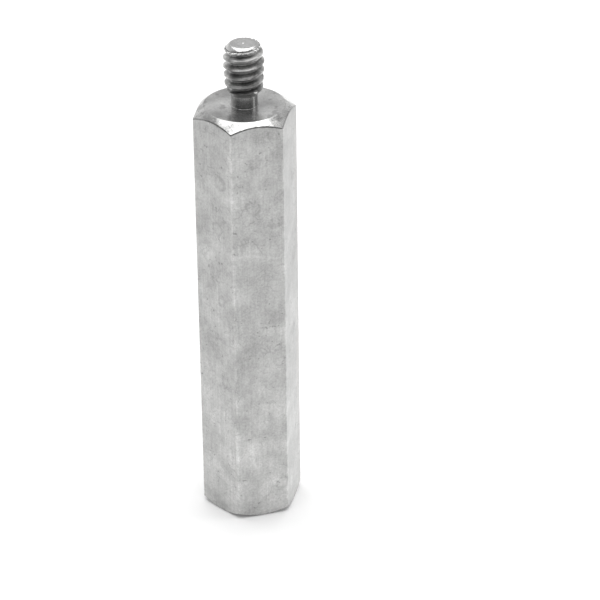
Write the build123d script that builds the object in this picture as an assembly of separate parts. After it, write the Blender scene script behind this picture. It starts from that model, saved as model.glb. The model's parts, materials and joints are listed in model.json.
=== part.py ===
from build123d import *
from build123d.topology import SkipClean
import os
from math import radians, tan

# Male-female standoff: one piece, turned from a length of hexagonal steel bar.
# A tapped blind hole runs up from the lower end. A threaded stud stands on the upper end.
# The origin is the centre of the lower end face, +Z runs along the axis to the stud,
# and one flat of the hexagon faces -Y. Sizes are in millimetres and degrees.
# The threads are too fine to be cut here: the stud is as wide as its crests, and the hole
# is as wide as it is between its crests.

# Hexagonal bar
across_flats = 6.35
body_length = 31.75

# Chamfers at the bar's ends. Each rim is the circle where a chamfer would meet its end face,
# and each angle is measured from that face.
upper_rim_diameter = 5.6
upper_chamfer_angle = 36.0
lower_rim_diameter = 6.2
lower_chamfer_angle = 35.0

# Thread of the stud and of the hole that takes another such stud: its crest diameter,
# its pitch, the angle between its flanks, and the room around a stud's crests in a hole
thread_diameter = 2.84
thread_pitch = 0.635
thread_angle = 60.0
thread_clearance = 0.01

# Threaded stud, measured up from the shoulder, with a plain relief at its foot.
# A cone at the relief angle, measured from the shoulder, leads out of the relief.
stud_length = 4.59
relief_diameter = 1.82
relief_length = 0.88
relief_angle = 45.0

# Above that cone the crests grow to their full diameter over the run-out
runout_length = 0.48
runout_depth = 0.08

# Flat tip with a chamfered edge, and the low cone that the turning tool leaves at its centre
tip_diameter = 1.92
tip_chamfer_angle = 45.0
pip_diameter = 0.24
pip_height = 0.04

# Tapped hole: the drill's full width reaches this deep, and its point goes deeper
drill_depth = 9.5
drill_point_angle = 118.0
countersink_diameter = 3.5
countersink_angle = 90.0

# A panel clamped on the shoulder clears the stud's crests by this much
seat_clearance = 0.24

# A thread's sharp height follows from its pitch and angle. In a tapped hole the groove
# is five eighths of that height deep, from the widest circle in to the crests.
sharp_height = thread_pitch / 2 / tan(radians(thread_angle / 2))
hole_groove_depth = sharp_height * 5 / 8

# Radii and heights that follow from the sizes above
stud_radius = thread_diameter / 2
hole_radius = stud_radius + thread_clearance - hole_groove_depth
relief_top = body_length + relief_length
tip_height = body_length + stud_length


def turned(*outline):
    """The solid of revolution whose half section has these (radius, height) corners."""
    corners = [(radius, 0, height) for radius, height in outline]
    return revolve(make_face(Polyline(*corners, close=True)), Axis.Z)


def hexagonal_body():
    """The bar between its end faces. A cone about the axis takes the corners off at each end."""
    bar = extrude(RegularPolygon(across_flats / 2, 6, major_radius=False), body_length)
    upper_rim = upper_rim_diameter / 2
    lower_rim = lower_rim_diameter / 2
    beyond_corners = across_flats
    upper_drop = (beyond_corners - upper_rim) * tan(radians(upper_chamfer_angle))
    lower_rise = (beyond_corners - lower_rim) * tan(radians(lower_chamfer_angle))
    return bar & turned(
        (0, 0),
        (lower_rim, 0),
        (beyond_corners, lower_rise),
        (beyond_corners, body_length - upper_drop),
        (upper_rim, body_length),
        (0, body_length),
    )


def stud():
    """The stud, with its foot sunk into the body as deep as the relief is long."""
    relief_radius = relief_diameter / 2
    runout_radius = stud_radius - runout_depth
    runout_foot = relief_top + (runout_radius - relief_radius) * tan(radians(relief_angle))
    tip_radius = tip_diameter / 2
    pip_radius = pip_diameter / 2
    tip_flat = tip_height - pip_height
    chamfer_drop = (stud_radius - tip_radius) * tan(radians(tip_chamfer_angle))
    return turned(
        (0, body_length - relief_length),
        (relief_radius, body_length - relief_length),
        (relief_radius, relief_top),
        (runout_radius, runout_foot),
        (stud_radius, runout_foot + runout_length),
        (stud_radius, tip_flat - chamfer_drop),
        (tip_radius, tip_flat),
        (pip_radius, tip_flat),
        (0, tip_height),
    )


def hole():
    """The space of the tapped hole. It starts below the end face, so that it cuts cleanly."""
    below = countersink_diameter - 2 * hole_radius
    slope = tan(radians(countersink_angle / 2))
    mouth_radius = countersink_diameter / 2
    countersink_depth = (mouth_radius - hole_radius) / slope
    point_height = hole_radius / tan(radians(drill_point_angle / 2))
    return turned(
        (0, -below),
        (mouth_radius + below * slope, -below),
        (hole_radius, countersink_depth),
        (hole_radius, drill_depth),
        (0, drill_depth + point_height),
    )


def seat():
    """The middle of the shoulder, sunk into the body and flush with it.

    It is fused without merging coplanar faces, so its rim stays as an edge on the shoulder:
    outside that edge is the ring that a clamped panel bears on, clear of the stud's crests.
    """
    radius = stud_radius + seat_clearance
    return turned(
        (0, body_length - relief_length),
        (radius, body_length - relief_length),
        (radius, body_length),
        (0, body_length),
    )


def standoff():
    """The whole piece."""
    drilled = hexagonal_body() - hole()
    with SkipClean():
        return drilled + seat() + stud()


os.makedirs("parts", exist_ok=True)
export_step(standoff(), "parts/standoff.step")
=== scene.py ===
import json
from math import atan, cos, pi, radians, tan

import bmesh
import bpy
import numpy as np
from bpy.props import FloatProperty, FloatVectorProperty, PointerProperty
from bpy.types import Operator, Panel, PropertyGroup
from mathutils import Matrix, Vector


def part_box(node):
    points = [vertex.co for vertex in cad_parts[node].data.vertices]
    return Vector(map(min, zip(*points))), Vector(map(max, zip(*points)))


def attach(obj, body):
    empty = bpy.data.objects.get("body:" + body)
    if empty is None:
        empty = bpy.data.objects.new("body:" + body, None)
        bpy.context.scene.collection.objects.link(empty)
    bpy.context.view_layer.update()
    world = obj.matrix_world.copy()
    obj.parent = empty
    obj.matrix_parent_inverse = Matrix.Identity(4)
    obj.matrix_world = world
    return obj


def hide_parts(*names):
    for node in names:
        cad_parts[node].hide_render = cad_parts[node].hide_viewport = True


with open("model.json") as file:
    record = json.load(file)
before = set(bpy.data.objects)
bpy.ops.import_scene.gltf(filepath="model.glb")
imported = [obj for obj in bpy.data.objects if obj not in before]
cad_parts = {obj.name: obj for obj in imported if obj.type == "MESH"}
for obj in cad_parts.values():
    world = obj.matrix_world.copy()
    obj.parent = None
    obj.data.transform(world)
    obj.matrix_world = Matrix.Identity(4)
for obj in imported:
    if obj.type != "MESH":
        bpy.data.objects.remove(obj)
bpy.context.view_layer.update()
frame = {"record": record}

bl_info = {
    "name": "Male-Female Standoff",
    "version": (1, 0, 0),
    "blender": (4, 5, 0),
    "location": "3D View > Sidebar > Standoff",
    "description": "A hexagonal standoff with its cut threads, and the table and light it stands in",
    "category": "Add Mesh",
}

MM = 0.001
TURN = 2 * pi
LOW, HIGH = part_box("standoff")
MOUNTS = {mount["name"]: mount for mount in frame["record"]["mounts"]}
METAL = frame["record"]["materials"][0]["base_color"]


# Kinds of setting

def length(name, description, default):
    """A size, kept in metres."""
    return FloatProperty(name=name, description=description, default=default, min=0.0,
                         precision=6, subtype="DISTANCE", unit="LENGTH")


def turned_by(name, description, degrees):
    """An angle, given here in degrees and kept in radians."""
    return FloatProperty(name=name, description=description, default=radians(degrees),
                         subtype="ANGLE", unit="ROTATION")


def share(name, description, default):
    """A share between none and all."""
    return FloatProperty(name=name, description=description, default=default,
                         min=0.0, max=1.0, subtype="FACTOR")


def level(name, description, default):
    """A brightness, where one is white."""
    return FloatProperty(name=name, description=description, default=default, min=0.0)


def colour(name, description, default):
    """A colour, as the share of red, green and blue light that it gives back."""
    return FloatVectorProperty(name=name, description=description, default=default,
                               size=3, min=0.0, max=1.0, subtype="COLOR")


class StandoffBar(PropertyGroup):
    """Sizes of the hexagonal bar and the chamfers at its two ends"""
    across_flats: length(
        "Across Flats", "Distance between two opposite flats of the bar", HIGH.y - LOW.y)
    body_length: length(
        "Body Length", "From the lower end face to the shoulder", MOUNTS["shoulder"]["pos_m"][2])
    corner_round: length(
        "Corner Round", "Radius of the bar's six long corners", 0.1 * MM)
    edge_break: length(
        "Edge Break", "How far the edges of the chamfers are worn round", 0.04 * MM)
    upper_rim_diameter: length(
        "Upper Rim", "Circle where the upper chamfer meets the shoulder", 5.6 * MM)
    upper_chamfer_angle: turned_by(
        "Upper Chamfer", "Slope of the upper chamfer, from the shoulder", 36)
    lower_rim_diameter: length(
        "Lower Rim", "Circle where the lower chamfer meets the end face", 6.2 * MM)
    lower_chamfer_angle: turned_by(
        "Lower Chamfer", "Slope of the lower chamfer, from the end face", 35)
    foot_break: length(
        "Foot Break", "Width of the broken edge under the flats", 0.08 * MM)


class StandoffThread(PropertyGroup):
    """Pitch and shape of the thread"""
    stud_radius: length(
        "Stud Radius", "To the crests of the stud's thread", MOUNTS["stud"]["dims"]["r_mm"] * MM)
    pitch: length(
        "Pitch", "From one turn of the thread to the next", 0.635 * MM)
    flank_angle: turned_by(
        "Thread Angle", "Between the two flanks of a groove", 60)
    start_angle: turned_by(
        "Thread Start", "Where round the axis a crest would pass the shoulder", -58)
    crest_width: share(
        "Crest Width", "Flat of the stud's crests, as a share of the pitch", 0.02)
    root_width: share(
        "Root Width", "Flat of the stud's roots, as a share of the pitch", 0.16)
    crest_softness: share(
        "Crest Softness", "How far the crests are rounded, in pitches", 0.16)
    root_softness: share(
        "Root Softness", "How far the roots are rounded, in pitches", 0.03)


class StandoffStud(PropertyGroup):
    """Sizes of the threaded stud, from its neck to its tip"""
    stud_length: length(
        "Stud Length", "From the shoulder to the tip", HIGH.z - MOUNTS["shoulder"]["pos_m"][2])
    relief_diameter: length(
        "Relief Diameter", "Plain neck at the stud's foot", 1.82 * MM)
    relief_length: length(
        "Relief Length", "From the shoulder to the cone above the neck", 0.88 * MM)
    relief_fillet: length(
        "Relief Fillet", "Where the neck meets the shoulder", 0.04 * MM)
    first_crest_diameter: length(
        "First Crest", "Crests where the thread begins above the neck", 2.6 * MM)
    runout_length: length(
        "Run-out", "Length over which the crests grow to their full size", 1.76 * MM)
    tip_diameter: length(
        "Tip Diameter", "Circle where the tip's chamfer would meet its end", 1.9 * MM)
    tip_chamfer_angle: turned_by(
        "Tip Chamfer", "Slope of the tip's chamfer, from its end", 48)
    tip_break: length(
        "Tip Break", "How far the tip's edge is rounded", 0.15 * MM)
    lead_diameter: length(
        "Lead Diameter", "Crests where they leave the tip's chamfer", 2.52 * MM)
    lead_length: length(
        "Lead Length", "From the tip down to the first whole crest", 0.97 * MM)
    burr_height: length(
        "Burr Height", "Ridge left where the tip's chamfer meets the groove", 0.055 * MM)
    burr_place: length(
        "Burr Place", "Middle of that ridge, in from the groove", 0.05 * MM)
    burr_width: length(
        "Burr Width", "Half the width of that ridge", 0.12 * MM)
    notch_depth: length(
        "Notch Depth", "How deep the notch behind that ridge is", 0.035 * MM)
    notch_place: length(
        "Notch Place", "Middle of the notch, in from the groove", 0.3 * MM)
    notch_width: length(
        "Notch Width", "Half the width of the notch", 0.085 * MM)
    nub_turn: turned_by(
        "Nub Turn", "Place round the axis of the nub where the thread begins", -67)
    nub_rise: length(
        "Nub Rise", "From the shoulder to that nub", 1.33 * MM)
    nub_size: length(
        "Nub Size", "How far that nub stands out, and half its width", 0.11 * MM)
    pip_diameter: length(
        "Pip Diameter", "Foot of the low cone in the middle of the tip", 0.2 * MM)
    pip_height: length(
        "Pip Height", "Height of the low cone in the middle of the tip", 0.035 * MM)


class StandoffHole(PropertyGroup):
    """Sizes of the tapped hole"""
    hole_radius: length(
        "Hole Radius", "To the crests of the hole's thread",
        MOUNTS["tapped_hole"]["dims"]["r_mm"] * MM)
    drill_depth: length(
        "Drill Depth", "Full width of the tapping drill reaches this deep", 9.5 * MM)
    drill_point_angle: turned_by(
        "Drill Point", "Angle of the cone that the drill leaves", 118)
    countersink_diameter: length(
        "Countersink", "Width of the hole's mouth", 3.5 * MM)
    thread_depth: length(
        "Thread Depth", "How deep the tapped thread reaches", 7.6 * MM)
    thread_runout: length(
        "Thread Run-out", "Length over which the tap's groove fades", 0.7 * MM)


class StandoffFinish(PropertyGroup):
    """Colours and gloss of the metal, how it is stained and worn, and its painted shade and
    highlights
    """
    flats_colour: colour("Flats", "Plating on the flats", METAL)
    film: share("Film", "Clear film over the plating", 0.25)
    turned_colour: colour("Turned Ends", "Bare turned faces", (0.56, 0.56, 0.555))
    thread_colour: colour("Threads", "Cut threads", (0.36, 0.36, 0.355))
    flats_roughness: share("Flats Roughness", "Satin of the flats", 0.36)
    turned_roughness: share("Turned Roughness", "Gloss of the turned faces", 0.23)
    thread_roughness: share("Thread Roughness", "Gloss of the threads", 0.36)
    staining: share("Staining", "How strongly the plating is clouded", 0.5)
    # How much lighter the long corners are made: partly wear, partly a painted highlight along them.
    wear_and_sheen: share("Rubbing", "How much brighter the long corners are rubbed", 0.3)
    # How far the grooves, the neck, the foot's chamfer and the bore are made darker by painted
    # shade.
    groove_shade: share("Residue", "How dark the bottoms of the grooves are", 0.42)


class StandoffStage(PropertyGroup):
    """The table, the lights, the room and the viewer's place"""
    floor_reach: length("Floor Reach", "From the middle to the edge of the table", 4.0)
    floor_colour: colour("Floor", "Colour of the table", (0.9, 0.9, 0.9))
    floor_lift: level("Floor Lift", "What the eye sees added to the floor", 0.1)
    mirror_lift: level("Mirror Lift", "What polished metal sees added to the floor", 0.2)
    panel_height: length("Light Height", "Soft light above the table", 2.0)
    panel_length: length("Light Length", "Across the view", 2.6)
    panel_width: length("Light Width", "Along the view", 3.3)
    panel_side: FloatProperty(name="Light Side", description="How far it is set to the right",
                              default=-0.04, subtype="DISTANCE", unit="LENGTH")
    panel_back: length("Light Back", "How far it is set behind the object", 0.1)
    panel_level: level("Light Level", "Brightness of the soft light's face", 2.0)
    strip_turn: turned_by("Strip Turn", "Place of the upright strip light, from the viewer", 92)
    strip_distance: length("Strip Distance", "From the object to the strip light", 1.0)
    strip_width: length("Strip Width", "Width of the strip light", 0.3)
    strip_height: length("Strip Height", "Height of the strip light", 0.95)
    strip_level: level("Strip Level", "Brightness of the strip light's face", 1.95)
    back_level: level("Back Level", "Room behind the object, at the height of the table", 1.0)
    side_level: level("Side Level", "Added low down behind the object at the left", 0.4)
    upper_level: level("Upper Level", "Room behind the object, above the table", 0.82)
    front_level: level("Front Level", "Room on the viewer's side", 0.15)
    view_turn: turned_by("View Turn", "Viewer's place round the axis, from the front", -15.4595)
    view_drop: turned_by("View Drop", "How far down the viewer looks", 30.1774)
    view_roll: turned_by("View Roll", "How far the picture leans", -0.62)
    view_side: FloatProperty(name="View Side", description="Viewer's place across the view",
                             default=3.6366 * MM, subtype="DISTANCE", unit="LENGTH")
    view_distance: length("View Distance", "Viewer's place from the axis", 179.3053 * MM)
    view_height: length("View Height", "Viewer's place above the table", 120.5155 * MM)
    lens: FloatProperty(name="Lens", description="Focal length on a 36 mm frame",
                        default=175.939, min=1.0, subtype="DISTANCE_CAMERA")


# The standoff's surface

def corner_half_angle(bar):
    """Half the angle that a rounded corner takes up, seen from the axis.

    It is a twelfth of a turn less the angle from the middle of a flat to its end, whose
    tangent is (apothem - corner round) * tan 30 / apothem.
    """
    apothem = bar.across_flats / 2
    return TURN / 12 - atan((apothem - bar.corner_round) * tan(TURN / 12) / apothem)


def column_angles(bar, corner_columns=7, flat_columns=24):
    """Angles of the columns of points round the axis.

    Each sixth of a turn has close columns over its rounded corner, and evenly spaced ones over
    the flat that follows.
    """
    half_corner = corner_half_angle(bar)
    over_corner = np.linspace(-half_corner, half_corner, corner_columns)
    over_flat = np.linspace(half_corner, TURN / 6 - half_corner, flat_columns + 2)[1:-1]
    sixth = np.concatenate((over_corner, over_flat))
    return (sixth + np.arange(6)[:, None] * TURN / 6).ravel()


def hexagon(angles, bar, wear_sheen_reach=1.5):
    """Distance from the axis to the bar's side, and how near each column is to a corner.

    On a flat it is the apothem divided by the cosine of the angle from the flat's middle.
    On a corner's arc of radius c, whose centre is d from the axis, it is
    d cos a + root(c^2 - (d sin a)^2), where a is the angle from the corner. The nearness, which
    places the corner wear and its painted highlight, falls evenly from one on a corner to none at
    the reach times the corner's half angle.
    """
    apothem = bar.across_flats / 2
    half_corner = corner_half_angle(bar)
    from_corner = (angles + TURN / 12) % (TURN / 6) - TURN / 12
    flat = apothem / np.cos(TURN / 12 - abs(from_corner))
    centre = (apothem - bar.corner_round) / cos(TURN / 12)
    under_root = bar.corner_round ** 2 - (centre * np.sin(from_corner)) ** 2
    arc = centre * np.cos(from_corner) + np.sqrt(np.maximum(under_root, 0))
    near = np.clip(1 - abs(from_corner) / (wear_sheen_reach * half_corner), 0, 1)
    return np.where(abs(from_corner) < half_corner, arc, flat), near


def waver(angles, seed, size, waves=(5, 60), sines=14, calm=5):
    """A small unevenness round the axis, mostly within its size.

    size / calm * the sum of sin(waves * angle + start), where the number of waves and the start
    of each sine are drawn at random.
    """
    random = np.random.default_rng(seed)
    counts = random.integers(*waves, sines)[:, None]
    starts = random.uniform(0, TURN, sines)[:, None]
    return size * np.sin(counts * angles + starts).sum(axis=0) / calm


def rounded_profile(corners, breaks, steps=4, largest=0.9):
    """Carries a profile through its corners in every column, and rounds each inner corner.

    A corner P becomes the curve P + (1 - t)^2 d a + t^2 d c for t from 0 to 1, where a and c
    are unit vectors towards the corners before and after it. d is the corner's break, but at
    most the largest share of half of either side, or of the whole of an end side. Returns
    radius and height by row and column, and each row's place: the corner's number, less a
    half where its curve starts and more a half where it ends.
    """
    sides = np.diff(corners, axis=0)
    lengths = np.linalg.norm(sides, axis=2, keepdims=True)
    no_length = 1e-12
    along = sides / np.maximum(lengths, no_length)
    room = lengths.copy()
    room[1:-1] /= 2
    room = largest * np.minimum(room[:-1], room[1:])
    reach = np.minimum(np.asarray(breaks).reshape(len(corners) - 2, -1, 1), room)[:, None]
    t = np.linspace(0, 1, steps + 1)[None, :, None, None]
    back, on = -along[:-1][:, None], along[1:][:, None]
    curves = corners[1:-1][:, None] + (1 - t) ** 2 * reach * back + t ** 2 * reach * on
    rows = np.concatenate((corners[:1], curves.reshape(-1, *corners.shape[1:]), corners[-1:]))
    inner = np.arange(1, len(corners) - 1)[:, None] + np.linspace(-0.5, 0.5, steps + 1)
    place = np.concatenate(([0.5], inner.ravel(), [len(corners) - 1.5]))
    return rows[..., 0], rows[..., 1], place


def thread_rows(angles, low, high, pitch, start, origin, spread):
    """Heights of the rows of a thread, each of which climbs one pitch in a turn.

    height = origin + pitch * (w + (angle - start) / turn), held between low and high. The turn
    number w is whole on a crest, and takes the values of spread between one crest and the next.
    """
    first = np.floor((low - origin) / pitch - (angles[0] + TURN - start) / TURN)
    last = np.ceil((high - origin) / pitch - (angles[0] - start) / TURN)
    turns = np.append((np.arange(first, last)[:, None] + spread).ravel(), last)
    heights = origin + pitch * (turns[:, None] + (angles - start) / TURN)
    return np.clip(heights, low, high)


def above_crest(heights, angles, pitch, start, origin):
    """How far a point lies above the nearest crest, in pitches: negative below the crest.

    It is the turn number (height - origin) / pitch - (angle - start) / turn, less the nearest
    whole number.
    """
    turns = (heights - origin) / pitch - (angles - start) / TURN
    return turns - np.round(turns)


def groove_depth(place, crest, root, crest_softness, root_softness):
    """Depth of a groove as a share of its whole depth, none on the crest and all on the root.

    place is the distance from the nearest crest, in pitches. The depth rises evenly over the
    flank, and each end of the flank is eased by the ramp (x + root(x^2 + s^2)) / 2, where s is
    the softness there.
    """
    def ramp(x, soften):
        """None below zero and x above it, eased between."""
        return (x + np.sqrt(x * x + soften * soften)) / 2
    foot, top = crest / 2, 0.5 - root / 2
    rise = ramp(place - foot, crest_softness) - ramp(-foot, crest_softness)
    return np.clip((rise - ramp(place - top, root_softness)) / (top - foot), 0, 1)


def smaller(a, b, soften):
    """The smaller of two radii, eased where they cross: (a + b - root((a - b)^2 + s^2)) / 2."""
    return (a + b - np.sqrt((a - b) ** 2 + soften * soften)) / 2


def spread_rows(*near_crest):
    """Turn fractions from one crest to the next: those given up to a root, and their mirror."""
    half = np.array(near_crest)
    return np.concatenate((half, 1 - half[-2:0:-1]))


def stud_outline(bar, thread, stud):
    """The stud's blank before the thread is cut, from its neck to the middle of its tip.

    It leaves the neck as a cone at 45 degrees, tapers up to the full radius, runs straight,
    draws in over the lead to the tip's chamfer, and ends in a flat with a low cone in its
    middle, each corner eased. Returns distance along the outline, radius and height.
    """
    neck, first = stud.relief_diameter / 2, stud.first_crest_diameter / 2
    lead, end = stud.lead_diameter / 2, stud.tip_diameter / 2
    low = bar.body_length + stud.relief_length
    tip = bar.body_length + stud.stud_length - stud.pip_height
    full = low + first - neck + stud.runout_length
    corners = np.array((
        (neck, low),
        (first, low + first - neck),
        (thread.stud_radius, full),
        (thread.stud_radius, tip - stud.lead_length),
        (lead, tip - (lead - end) * tan(stud.tip_chamfer_angle)),
        (end, tip),
        (stud.pip_diameter / 2, tip),
        (0, tip + stud.pip_height)))
    breaks = {"first crest": 0.02 * MM, "full radius": 0.02 * MM, "lead": 0.2 * MM,
              "chamfer": 0.04 * MM, "tip": stud.tip_break, "low cone": 0.03 * MM}
    radius, height, _ = rounded_profile(corners[:, None], list(breaks.values()))
    radius, height = radius.ravel(), height.ravel()
    steps = np.hypot(np.diff(radius), np.diff(height))
    return np.append(0, np.cumsum(steps)), radius, height


def tip_burr(angles, blank, above, at_tip, depth, thread, stud):
    """The burr and the notch beside the groove's upper edge on the tip's chamfer.

    Where inset is the groove's flank less the blank's radius, a ragged burr raises the surface
    by its height times exp(-((inset - burr place) / burr width)^2), and a notch sinks it alike
    behind that. Both fade out where the chamfer starts and near the groove's root. Returns how
    far the surface is lifted, and how much painted shade falls in the notch and in the gaps of
    the burr.
    """
    start_fade, root_fade, root_gap = 0.03 * MM, 0.04 * MM, 1.5
    usual, tallest = 0.6, 1.4
    gap_darkness, notch_darkness = 1.6, 1.2

    inset = thread.stud_radius - blank + (
        above + thread.crest_width / 2) * thread.pitch / tan(thread.flank_angle / 2)
    past_start = np.clip((stud.lead_diameter / 2 - blank) / start_fade + 1, 0, 1)
    off_root = np.clip((blank - thread.stud_radius + depth) / root_fade - root_gap, 0, 1)
    on_chamfer = at_tip * past_start * off_root
    ragged = np.clip(usual + waver(angles, seed=5, size=1.4, waves=(13, 30)), 0, tallest)
    ridge = np.exp(-((inset - stud.burr_place) / stud.burr_width) ** 2)
    notch = np.exp(-((inset - stud.notch_place) / stud.notch_width) ** 2)
    lift = on_chamfer * (stud.burr_height * ridge * ragged - stud.notch_depth * notch)
    # The notch and the gaps in the burr get painted shade.
    dark = on_chamfer * np.clip(
        gap_darkness * ridge * (1 - ragged) + notch_darkness * notch, 0, 1)
    return lift, dark


def start_nub(angles, blank, height, bar, stud):
    """The nub where the thread begins: exp(-(distance / size)^2), on its side of the stud."""
    across = blank * np.sin(angles - stud.nub_turn) / stud.nub_size
    up = (height - bar.body_length - stud.nub_rise) / stud.nub_size
    return np.exp(-across ** 2 - up ** 2) * (np.cos(angles - stud.nub_turn) > 0)


def stud_thread(angles, bar, thread, stud, rows_in_turn=32):
    """The stud from the top of its neck to the middle of its tip.

    A row climbs one pitch in a turn, measured along the blank's outline. The groove keeps a
    constant root radius, so its crests are cut off by the blank: radius = the smaller of the
    blank and the thread. The burr lifts the surface outwards and upwards, about square to the
    tip's chamfer, and the nub stands straight out. Painted shade darkens the groove with its
    depth and fills the thread's start above the neck, but not the tip's chamfer or the nub.
    """
    outwards, upwards = 0.6, 0.8
    crossing, edge_fade, groove_shade_fade = 0.01 * MM, 0.03 * MM, 0.04 * MM
    tip_zone = 0.9 * thread.pitch
    # At the start the painted shade is gone once the surface has climbed 1.3 times this reach
    start_shade, start_reach = 1.3, stud.first_crest_diameter / 4

    along, radii, rises = stud_outline(bar, thread, stud)
    low, high = rises[0], rises[0] + along[-1]
    spread = np.linspace(0, 1, rows_in_turn, endpoint=False)
    rows = thread_rows(angles, low, high, thread.pitch, thread.start_angle, bar.body_length,
                       spread)
    blank, height = np.interp(rows - low, along, radii), np.interp(rows - low, along, rises)

    flank_run = (0.5 - thread.crest_width / 2 - thread.root_width / 2) * thread.pitch
    depth = flank_run / tan(thread.flank_angle / 2)
    above = above_crest(height, angles, thread.pitch, thread.start_angle, bar.body_length)
    sunk = groove_depth(abs(above), thread.crest_width, thread.root_width,
                        thread.crest_softness, thread.root_softness)
    cut = thread.stud_radius - depth * sunk
    radius = smaller(blank, cut, crossing)

    at_tip = height > bar.body_length + stud.stud_length - tip_zone
    lift, dark = tip_burr(angles, blank, above, at_tip, depth, thread, stud)
    nub = start_nub(angles, blank, height, bar, stud)

    # Painted shade: the deeper in the groove the darker, and the thread's start above the neck is
    # shaded all over.
    near_neck = start_shade - (height - low) / start_reach
    groove_shade = np.clip(np.maximum((thread.stud_radius - radius) / depth, near_neck), 0, 1)
    groove_shade = groove_shade * np.where(at_tip, np.clip((blank - cut) / groove_shade_fade, 0, 1), 1)
    cut_thread = 1 - at_tip * np.clip((cut - blank) / edge_fade + 1, 0, 1)
    off_nub = np.clip(1 - 2 * nub, 0, 1)
    return {"radius": radius + outwards * lift + stud.nub_size * nub,
            "height": height + upwards * lift, "groove": groove_shade * off_nub,
            "thread": cut_thread * off_nub, "edge": dark, "lead": len(spread)}


def hole_thread(angles, thread, hole):
    """The tapped wall from the countersink up to where the tap's groove has faded.

    radius = hole radius + groove depth * the groove's profile * f^2 (3 - 2 f), where f falls
    from one to none over the run-out, or the countersink's cone where that is wider. The
    lowest row is a plain ring as wide as the bottom of the groove.
    """
    crest_width, root_width, crossing = 1 / 4, 1 / 8, 0.004 * MM
    widest = hole.hole_radius + tap_depth(thread)
    low = hole.countersink_diameter / 2 - widest
    high = hole.thread_depth
    spread = spread_rows(0, 0.1, 0.15, 0.28, 0.4, 0.45, 0.5)
    heights = thread_rows(angles, low, high, thread.pitch, thread.start_angle, 0, spread)
    place = abs(above_crest(heights, angles, thread.pitch, thread.start_angle, 0))
    cut = groove_depth(place, crest_width, root_width, thread.root_softness,
                       thread.root_softness)
    fade = np.clip((high - heights) / hole.thread_runout, 0, 1)
    radius = hole.hole_radius + tap_depth(thread) * cut * fade * fade * (3 - 2 * fade)
    mouth = hole.countersink_diameter / 2 - heights
    radius = -smaller(-radius, -mouth, crossing)
    radius = np.where(heights <= low, widest, radius)
    # The groove mark puts painted shade in the hole's grooves.
    return {"radius": radius, "height": heights, "groove": cut * fade, "thread": 1.0,
            "lead": len(spread), "inward": True}


def tap_depth(thread):
    """Depth of the hole's groove: five eighths of the thread's sharp height."""
    return thread.pitch / 2 / tan(thread.flank_angle / 2) * 5 / 8


def grid_faces(rows, columns, lead, inward):
    """Four-cornered faces of a grid that closes on itself round the axis.

    Next to the last column stands the first one, lead rows further on, as on a helix that
    climbs that many rows in a turn.
    """
    row = np.arange(rows - 1)[:, None]
    column = np.arange(columns)[None, :]
    after = (column + 1) % columns
    jump = np.where(column == columns - 1, lead, 0)

    def point(r, c):
        """Number of the point in this row and column."""
        return np.minimum(r, rows - 1) * columns + c

    faces = np.stack((point(row, column + 0 * row), point(row + jump, after),
                      point(row + 1 + jump, after), point(row + 1, column)), axis=-1)
    faces = faces.reshape(-1, 4)
    return faces[:, ::-1] if inward else faces


def closed_mesh(name, angles, grids, weld=0.0002 * MM):
    """One closed mesh from grids that share their first and last rings.

    A point at (radius, height) in a column stands at (radius cos a, radius sin a, height).
    Points closer than the weld become one, and each mark of the grids becomes an attribute.
    """
    points, faces, start = [], [], 0
    marks = {key: [] for key in ("flat", "thread", "edge", "groove", "rub")}
    for grid in grids:
        radius, height = grid["radius"], grid["height"]
        points.append(np.stack((radius * np.cos(angles), radius * np.sin(angles), height),
                               axis=-1).reshape(-1, 3))
        faces.append(start + grid_faces(*radius.shape, grid.get("lead", 0),
                                        grid.get("inward", False)))
        for key, values in marks.items():
            values.append(np.broadcast_to(grid.get(key, 0.0), radius.shape).ravel())
        start += radius.size
    points, faces = np.concatenate(points), np.concatenate(faces)

    mesh = bpy.data.meshes.new(name)
    mesh.from_pydata(points, [], faces)
    for key, values in marks.items():
        layer = mesh.attributes.new(key, "FLOAT", "POINT")
        layer.data.foreach_set("value", np.concatenate(values).astype(np.float32))
    shape = bmesh.new()
    shape.from_mesh(mesh)
    bmesh.ops.remove_doubles(shape, verts=shape.verts, dist=weld)
    bmesh.ops.recalc_face_normals(shape, faces=shape.faces)
    shape.to_mesh(mesh)
    shape.free()
    mesh.polygons.foreach_set("use_smooth", np.ones(len(mesh.polygons), bool))
    return mesh


def profile_grid(corners, breaks, flat, thread, groove, edges):
    """A grid from a profile, with the marks of its sides and corners.

    flat, thread and groove give one value to each side, edges one to each inner corner, and
    every column goes from one side's value to the next over the corner between them.
    """
    radius, height, place = rounded_profile(corners, breaks)
    middles = np.arange(len(corners) - 1) + 0.5
    near = 1 - 2 * abs(place - np.round(place))
    corner = np.clip(np.round(place).astype(int) - 1, 0, len(edges) - 1)
    return {"radius": radius, "height": height,
            "flat": np.interp(place, middles, flat)[:, None],
            "groove": np.interp(place, middles, groove)[:, None],
            "thread": np.interp(place, middles, thread)[:, None],
            "edge": (near * np.asarray(edges)[corner])[:, None]}


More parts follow.
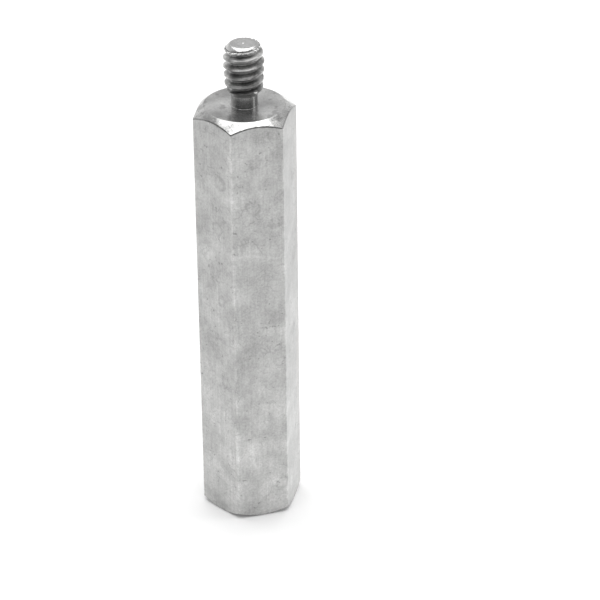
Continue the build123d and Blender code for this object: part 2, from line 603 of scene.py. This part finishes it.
def standoff_mesh(bar, thread, stud, hole):
    """The whole closed surface, from the drill's point out through the hole, round the foot,
    up the flats, over the shoulder and up the stud to the middle of its tip.

    The chamfers are cones about the axis, so their edges on the bar's sides stand at
    (side - rim radius) * tan(slope) from the end face or the shoulder. The lower edge keeps a
    least rise from the end face, and the upper one wavers a little.
    """
    angles = column_angles(bar)
    side, near_corner = hexagon(angles, bar)
    ones = np.ones_like(angles)

    def corner(radius, height):
        """A corner of a profile, at this radius and height in every column."""
        return np.stack((radius * ones, height * ones), axis=-1)

    tapped = hole_thread(angles, thread, hole)
    threaded = stud_thread(angles, bar, thread, stud)

    def end(grid, row):
        """A corner that lies on this row of a thread."""
        return corner(grid["radius"][row], grid["height"][row])

    point_top = hole.drill_depth + hole.hole_radius / tan(hole.drill_point_angle / 2)
    drill_break = 0.05 * MM
    # The bore carries half of the painted groove shade.
    bore = profile_grid(
        np.stack((corner(0, point_top), corner(hole.hole_radius, hole.drill_depth),
                  end(tapped, -1))),
        [drill_break], flat=(0, 0), thread=(1, 1), groove=(0.5, 0.5), edges=[0])

    foot_rim = np.minimum(bar.lower_rim_diameter / 2, side - bar.foot_break)
    foot_slope, least_rise = tan(bar.lower_chamfer_angle), 0.8 * bar.foot_break
    foot_top = np.maximum((side - bar.lower_rim_diameter / 2) * foot_slope, least_rise)
    upper_rim = bar.upper_rim_diameter / 2
    chamfer_foot = bar.body_length - (side - upper_rim) * tan(bar.upper_chamfer_angle)
    chamfer_foot = chamfer_foot + waver(angles, seed=1, size=0.008 * MM)
    neck = stud.relief_diameter / 2

    # The guards are short sides that keep a mark from spreading over the long ones. The sides
    # are the countersink, end face, lower chamfer, flat, upper chamfer, the shoulder in three
    # with a guard at both ends, and the neck in three with a guard at both ends.
    guard, straight = 0.1 * MM, ones * 0.001 * MM
    worn = bar.edge_break * (1 + waver(angles, seed=2, size=0.25))
    flat_foot, flat_top = 1.2 * worn, 2.3 * worn
    # The groove marks put painted shade on the foot's chamfer, at the neck's foot and on the neck,
    # and the edge marks put dark lines of painted shade along the corners of the profile.
    outside = profile_grid(
        np.stack((end(tapped, 0),
                  corner(hole.countersink_diameter / 2, 0),
                  corner(foot_rim, 0),
                  corner(side, foot_top),
                  corner(side, chamfer_foot),
                  corner(upper_rim, bar.body_length),
                  corner(upper_rim - guard, bar.body_length),
                  corner(neck + guard, bar.body_length),
                  corner(neck, bar.body_length),
                  corner(neck, bar.body_length + guard),
                  corner(neck, threaded["height"][0] - guard / 2),
                  end(threaded, 0))),
        np.stack((worn, worn, flat_foot, flat_top, worn, straight, straight,
                  ones * stud.relief_fillet, straight, straight)),
        flat=(0, 0, 0, 1, 0, 0, 0, 0, 0, 0, 0),
        thread=(1, 0, 0, 0, 0, 0, 0, 0, 0, 0, 0),
        groove=(0, 0, 0.7, 0, 0, 0, 0, 0.4, 0.65, 0.65, 0.65),
        edges=[0.3, 0.3, 0.9, 0.9, 0.2, 0, 0, 0, 0, 0])
    # Wear and a painted highlight along the long corners of the flats.
    outside["rub"] = near_corner * (outside["flat"] > 0.99)

    return closed_mesh("standoff_metal", angles, [bore, tapped, outside, threaded])


# Materials

class Nodes:
    """Adds nodes to an emptied tree and joins them."""

    def __init__(self, tree):
        tree.nodes.clear()
        self.tree = tree

    def add(self, kind, inputs=None, **settings):
        """A node of this kind. An input that is a socket is linked, and any other is set."""
        made = self.tree.nodes.new(kind)
        for key, value in settings.items():
            setattr(made, key, value)
        for key, value in (inputs or {}).items():
            if isinstance(value, bpy.types.NodeSocket):
                self.tree.links.new(value, made.inputs[key])
            else:
                made.inputs[key].default_value = value
        return made

    def math(self, operation, a, b):
        """One sum, product or other operation on two values."""
        return self.add("ShaderNodeMath", {0: a, 1: b}, operation=operation).outputs[0]

    def times(self, *values):
        """The product of all values."""
        result = values[0]
        for value in values[1:]:
            result = self.math("MULTIPLY", result, value)
        return result

    def plus(self, *values):
        """The sum of all values."""
        result = values[0]
        for value in values[1:]:
            result = self.math("ADD", result, value)
        return result

    def between(self, share, a, b):
        """From a to b, by this share."""
        return self.add("ShaderNodeMix", {0: share, 2: a, 3: b}, data_type="FLOAT").outputs[0]

    def noise(self, vector, scale, detail=2.0, roughness=0.5):
        """Noise about a half, with its scale in swings to each unit of the vector."""
        return self.add("ShaderNodeTexNoise", {"Vector": vector, "Scale": scale, "Detail": detail,
                                               "Roughness": roughness}).outputs[0]

    def swing(self, value, size):
        """One, more or less by up to size, as a noise value swings about its middle."""
        return self.plus(self.times(self.plus(value, -0.5), 2 * size), 1.0)

    def lit(self, pattern, amount):
        """One, and this much more or less where the pattern is."""
        return self.plus(self.times(pattern, amount), 1.0)

    def over(self, value, low, high, out_low=0.0, out_high=1.0):
        """A smooth step from out_low to out_high as the value goes from low to high."""
        return self.add("ShaderNodeMapRange", {"Value": value, "From Min": low, "From Max": high,
                                               "To Min": out_low, "To Max": out_high},
                        interpolation_type="SMOOTHSTEP").outputs[0]

    def mark(self, name):
        """One of the marks that the mesh carries."""
        return self.add("ShaderNodeAttribute", attribute_name=name).outputs["Fac"]

    def scaled(self, vector, scale, turn=(0.0, 0.0, 0.0)):
        """The vector scaled along its axes, and then turned."""
        return self.add("ShaderNodeMapping", {"Vector": vector, "Rotation": turn,
                                              "Scale": scale}).outputs[0]

    def tinted(self, colour, tone):
        """A colour made lighter or darker by a tone."""
        return self.add("ShaderNodeVectorMath", {0: tuple(colour), "Scale": tone},
                        operation="SCALE").outputs[0]


def plated_steel(finish):
    """Clouded satin plating on the flats, bright turned ends and darker cut threads.

    All patterns are worked out in millimetres of the object's own coordinates. A tone is the
    product of its patterns, each of which swings about one, or adds or takes away a share.
    """
    material = bpy.data.materials.new("plated_steel")
    material.use_nodes = True
    n = Nodes(material.node_tree)
    place = n.add("ShaderNodeTexCoord").outputs["Object"]
    mm = n.scaled(place, (1000, 1000, 1000))
    parts = n.add("ShaderNodeSeparateXYZ", {0: mm}).outputs
    height = parts[2]
    across = n.add("ShaderNodeCombineXYZ", {0: parts[0], 1: parts[1]}).outputs[0]
    flat, thread = n.mark("flat"), n.mark("thread")
    edge, groove, rub = n.mark("edge"), n.mark("groove"), n.mark("rub")
    stain = finish.staining

    # Heights in millimetres between which a pattern changes, and the line from one of the
    # stud's two sides with painted light to the other
    foot_light_heights, whole_stud, under_shoulder = (3, 15), (33.0, 35.8), (31.74, 31.68)
    lit_sides_line = (0.964, -0.267, 0.0)

    # The flats: clouds of three sizes, drawn and scored lines, rings, pits and hairlines,
    # painted light that makes them lighter near the foot, and wear with a painted highlight that
    # makes the long corners lighter
    clouds = n.noise(mm, 0.36, 3.0, 0.55)
    patches = n.noise(mm, 1.1, 4.0, 0.6)
    speckle = n.noise(mm, 7.0, 3.0, 0.7)
    drawn = n.noise(n.scaled(place, (6000, 6000, 300)), 1.0, 2.0, 0.6)
    leaning = n.scaled(mm, (6.0, 6.0, 0.22), turn=(0.35, 0.25, 0.0))
    scored = n.times(n.over(n.noise(leaning, 1.0, 1.0, 0.5), 0.66, 0.72),
                     n.over(n.noise(mm, 0.35, 1.0), 0.5, 0.6))
    cells = n.add("ShaderNodeTexVoronoi", {"Vector": mm, "Scale": 0.52})
    apart = n.plus(cells.outputs["Distance"], n.times(n.plus(patches, -0.5), 0.6))
    chosen = n.over(n.add("ShaderNodeSeparateColor", {0: cells.outputs["Color"]}).outputs[0],
                    0.55, 0.65)
    ring = n.times(n.over(apart, 0.1, 0.22), n.over(apart, 0.32, 0.22), chosen)
    pits = n.over(n.noise(mm, 3.2, 2.0, 0.5), 0.66, 0.74)
    # Wear with a painted highlight, patchy along the long corners.
    rubbed = n.times(rub, n.over(n.noise(mm, 1.4, 3.0, 0.6), 0.42, 0.58))
    bend = n.add("ShaderNodeTexNoise", {"Vector": mm, "Scale": 0.9}).outputs["Color"]
    bent = n.add("ShaderNodeVectorMath", {0: mm, 1: bend}).outputs[0]
    webs = n.add("ShaderNodeTexVoronoi", {"Vector": bent, "Scale": 0.8},
                 feature="DISTANCE_TO_EDGE").outputs["Distance"]
    hairs = n.times(n.over(webs, 0.035, 0.01), n.over(n.noise(mm, 0.7, 2.0), 0.5, 0.6))
    # The last factor is painted light: the flats are lighter near the foot.
    flat_tone = n.times(n.swing(clouds, 0.9 * stain), n.swing(patches, 0.6 * stain),
                        n.swing(speckle, 0.8 * stain), n.swing(drawn, 0.35 * stain),
                        n.lit(scored, 0.24 * stain), n.lit(rubbed, finish.wear_and_sheen),
                        n.lit(ring, -0.3 * stain), n.lit(hairs, -0.3 * stain),
                        n.lit(pits, -0.7 * stain), n.over(height, *foot_light_heights, 1.13, 0.955))

    # The turned ends: smudges and blots, and specks everywhere below the shoulder
    smudge = n.over(n.noise(mm, 0.95, 3.0, 0.55), 0.55, 0.66)
    blots = n.over(n.noise(mm, 2.3, 3.0, 0.5), 0.6, 0.72)
    specks = n.times(n.over(n.noise(mm, 5.5, 2.0, 0.6), 0.58, 0.66),
                     n.over(height, *under_shoulder))
    turned_tone = n.times(n.swing(n.noise(mm, 0.45, 2.0, 0.45), 1.6 * stain),
                          n.lit(specks, -0.7 * stain), n.swing(speckle, 0.5 * stain),
                          n.lit(smudge, -0.6 * stain), n.lit(blots, -0.5 * stain))

    # The threads: rolled lines round them, and painted light that makes them lighter towards the tip
    # and on two sides
    rolled = n.noise(n.scaled(place, (900, 900, 9000)), 1.0, 3.0, 0.6)
    outward = n.add("ShaderNodeVectorMath", {0: across}, operation="NORMALIZE").outputs[0]
    aside = n.add("ShaderNodeVectorMath", {0: outward, 1: lit_sides_line},
                  operation="DOT_PRODUCT").outputs["Value"]
    painted_thread_light = n.plus(n.over(height, *whole_stud, 0.5, 0.85),
                     n.over(aside, -0.72, -0.84, 0.0, 0.65),
                     n.over(aside, 0.75, 0.93, 0.0, 0.5))
    thread_tone = n.times(n.swing(speckle, 1.0 * stain), n.swing(rolled, 1.4 * stain),
                          n.over(n.noise(mm, 1.4, 3.0, 0.6), 0.36, 0.64, 0.7, 1.4), painted_thread_light)

    # Colour, with painted shade as dark lines along the edges, in the notch and burr at the tip, and
    # in the grooves, the bore, the neck and on the foot's chamfer
    flat_colour = n.tinted(finish.flats_colour, flat_tone)
    turned_colour = n.tinted(finish.turned_colour, turned_tone)
    thread_colour = n.tinted(finish.thread_colour, thread_tone)
    body = n.add("ShaderNodeMix", {0: flat, 6: turned_colour, 7: flat_colour},
                 data_type="RGBA").outputs[2]
    whole = n.add("ShaderNodeMix", {0: thread, 6: body, 7: thread_colour},
                  data_type="RGBA").outputs[2]
    painted_shade = n.times(n.lit(edge, -0.6), n.lit(n.over(groove, 0.05, 0.75), -finish.groove_shade))
    coloured = n.add("ShaderNodeVectorMath", {0: whole, "Scale": painted_shade}, operation="SCALE")

    def by_zone(on_flats, on_turned, on_thread):
        """One value on the flats, one on the turned faces and one on the threads."""
        return n.between(thread, n.between(flat, on_turned, on_flats), on_thread)

    # Gloss, and fine relief with the rings of the tool on the turned faces
    roughness = by_zone(
        n.plus(n.times(n.plus(patches, -0.5), 0.25 * stain),
               n.times(n.plus(speckle, -0.5), 0.15 * stain), finish.flats_roughness),
        n.plus(n.times(n.plus(patches, -0.5), 0.15 * stain), finish.turned_roughness),
        n.plus(n.times(n.plus(speckle, -0.5), 0.1), finish.thread_roughness))
    out = n.add("ShaderNodeVectorMath", {0: across}, operation="LENGTH").outputs[1]
    tool_marks = n.add("ShaderNodeTexNoise", {"W": out, "Scale": 11.0, "Detail": 2.0},
                       noise_dimensions="1D").outputs[0]
    relief = by_zone(n.plus(n.times(speckle, 0.8), n.times(drawn, 0.3), patches),
                     n.plus(n.times(tool_marks, 0.3), n.times(speckle, 0.3)),
                     n.plus(n.times(speckle, 0.8), n.times(rolled, 1.5)))
    bump = n.add("ShaderNodeBump", {"Strength": 1.0, "Distance": 0.004 * MM, "Height": relief})
    surface = n.add("ShaderNodeBsdfPrincipled", {
        "Base Color": coloured.outputs[0], "Metallic": by_zone(1.0, 0.92, 0.75),
        "Roughness": roughness,
        "Coat Weight": n.times(flat, finish.film), "Coat Roughness": 0.25,
        "Coat Normal": bump.outputs[0], "Normal": bump.outputs[0]})
    n.add("ShaderNodeOutputMaterial", {"Surface": surface.outputs[0]})
    return material


def table_white(stage):
    """A matt white table. What the eye and polished metal see of it is lifted a little."""
    material = bpy.data.materials.new("table_white")
    material.use_nodes = True
    n = Nodes(material.node_tree)
    ray = n.add("ShaderNodeLightPath").outputs
    mirrored = n.math("MAXIMUM", ray["Is Glossy Ray"], ray["Is Transmission Ray"])
    seen = n.plus(n.times(ray["Is Camera Ray"], stage.floor_lift),
                  n.times(mirrored, stage.mirror_lift))
    matt = n.add("ShaderNodeBsdfDiffuse", {"Color": (*stage.floor_colour, 1)})
    lift = n.add("ShaderNodeEmission", {"Strength": seen})
    both = n.add("ShaderNodeAddShader", {0: matt.outputs[0], 1: lift.outputs[0]})
    n.add("ShaderNodeOutputMaterial", {"Surface": both.outputs[0]})
    return material


def linked(name, data):
    """A new object in the scene, at the origin."""
    made = bpy.data.objects.new(name, data)
    bpy.context.scene.collection.objects.link(made)
    return made


class STANDOFF_OT_metal(Operator):
    """Makes the standoff: its closed surface with both threads, and its plated finish"""
    bl_idname = "standoff.metal"
    bl_label = "Standoff"

    def execute(self, context):
        scene = context.scene
        mesh = standoff_mesh(scene.standoff_bar, scene.standoff_thread, scene.standoff_stud,
                             scene.standoff_hole)
        piece = linked("standoff_metal", mesh)
        mesh.materials.append(plated_steel(scene.standoff_finish))
        piece.modifiers.new("Face Weighted Normals", "WEIGHTED_NORMAL")
        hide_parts("standoff")
        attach(piece, "root")
        return {"FINISHED"}


class STANDOFF_OT_stage(Operator):
    """Makes the white table, the two soft lights, the room round them and the viewer"""
    bl_idname = "standoff.stage"
    bl_label = "Table, Light and View"

    def execute(self, context):
        stage = context.scene.standoff_stage
        self.floor(stage)
        self.overhead(stage)
        self.strip(stage)
        self.room(context.scene, stage)
        self.view(context.scene, stage)
        return {"FINISHED"}

    def floor(self, stage):
        """A square table top: the corners are the floor's reach out along both axes."""
        reach = stage.floor_reach * np.array([[-1, -1, 0], [1, -1, 0], [1, 1, 0], [-1, 1, 0]])
        mesh = bpy.data.meshes.new("table")
        mesh.from_pydata(reach, [], [(0, 1, 2, 3)])
        mesh.materials.append(table_white(stage))
        linked("table", mesh)

    def light(self, name, across, along, brightness):
        """A rectangular soft light, which faces straight down until it is turned.

        Its power is the brightness of its face times its area times pi.
        """
        lamp = bpy.data.lights.new(name, "AREA")
        lamp.shape = "RECTANGLE"
        lamp.size, lamp.size_y = across, along
        lamp.energy = brightness * across * along * pi
        return linked(name, lamp)

    def overhead(self, stage):
        """A wide light above the table, set square to the view."""
        made = self.light("overhead", stage.panel_length, stage.panel_width, stage.panel_level)
        spin = Matrix.Rotation(stage.view_turn, 4, "Z")
        made.matrix_world = spin @ Matrix.Translation(
            (stage.panel_side, stage.panel_back, stage.panel_height))

    def strip(self, stage):
        """A tall narrow light that stands on the table at the right and faces the object."""
        made = self.light("strip", stage.strip_width, stage.strip_height, stage.strip_level)
        off_table = 0.01
        middle = (0, -stage.strip_distance, stage.strip_height / 2 + off_table)
        spin = Matrix.Rotation(stage.view_turn + stage.strip_turn, 4, "Z")
        made.matrix_world = (spin @ Matrix.Translation(middle)
                             @ Matrix.Rotation(pi / 2, 4, "X"))

    def room(self, scene, stage):
        """Light from all round: bright behind the object and dim on the viewer's side.

        It changes with the direction's parts to the right, back and up, each from -1 to 1.
        """
        world = bpy.data.worlds.new("room")
        world.use_nodes = True
        n = Nodes(world.node_tree)
        way = n.add("ShaderNodeTexCoord").outputs["Generated"]
        turned = n.add("ShaderNodeMapping", {"Vector": way,
                                             "Rotation": (0, 0, -stage.view_turn)},
                       vector_type="NORMAL").outputs[0]
        parts = n.add("ShaderNodeSeparateXYZ", {0: turned}).outputs
        right, back, up = parts[0], parts[1], parts[2]
        behind = n.over(up, 0.15, 0.4, stage.back_level, stage.upper_level)
        low_left = n.times(n.over(right, -0.1, -0.5), n.over(up, 0.35, 0.15))
        behind = n.plus(n.times(behind, n.over(right, -0.8, 0.8, 1.06, 0.94)),
                        n.times(low_left, stage.side_level))
        strength = n.between(n.over(back, -0.45, 0.25), stage.front_level, behind)
        glow = n.add("ShaderNodeBackground", {"Strength": strength})
        n.add("ShaderNodeOutputWorld", {"Surface": glow.outputs[0]})
        scene.world = world

    def view(self, scene, stage):
        """The viewer stands round the axis by the view's turn and looks down by its drop."""
        frame_width, nearest, furthest = 36, 0.01, 20
        camera = bpy.data.cameras.new("view")
        camera.lens, camera.sensor_width = stage.lens, frame_width
        camera.clip_start, camera.clip_end = nearest, furthest
        eye = linked("view", camera)
        place = Matrix.Translation((stage.view_side, -stage.view_distance, stage.view_height))
        eye.matrix_world = (Matrix.Rotation(stage.view_turn, 4, "Z") @ place
                            @ Matrix.Rotation(pi / 2 - stage.view_drop, 4, "X")
                            @ Matrix.Rotation(stage.view_roll, 4, "Z"))
        scene.camera = eye
        scene.view_settings.view_transform = "Standard"


class STANDOFF_PT_panel(Panel):
    """Lists the settings and the steps that make the standoff and its stage"""
    bl_idname = "STANDOFF_PT_panel"
    bl_label = "Standoff"
    bl_space_type = "VIEW_3D"
    bl_region_type = "UI"
    bl_category = "Standoff"

    def draw(self, context):
        for name in SETTINGS:
            group = getattr(context.scene, name)
            box = self.layout.box()
            for key in group.__annotations__:
                box.prop(group, key)
        for step in STEPS:
            self.layout.operator(step.bl_idname)


SETTINGS = {
    "standoff_bar": StandoffBar,
    "standoff_thread": StandoffThread,
    "standoff_stud": StandoffStud,
    "standoff_hole": StandoffHole,
    "standoff_finish": StandoffFinish,
    "standoff_stage": StandoffStage,
}
STEPS = (STANDOFF_OT_metal, STANDOFF_OT_stage)


def register():
    """Adds the settings, the operators and the panel."""
    for kind in (*SETTINGS.values(), *STEPS, STANDOFF_PT_panel):
        bpy.utils.register_class(kind)
    for name, kind in SETTINGS.items():
        setattr(bpy.types.Scene, name, PointerProperty(type=kind))


def unregister():
    """Takes them out again."""
    for name in SETTINGS:
        delattr(bpy.types.Scene, name)
    for kind in (STANDOFF_PT_panel, *reversed(STEPS), *reversed(tuple(SETTINGS.values()))):
        bpy.utils.unregister_class(kind)


def main():
    """Makes the standoff and its stage."""
    register()
    bpy.ops.standoff.metal()
    bpy.ops.standoff.stage()


if __name__ == "__main__":
    main()
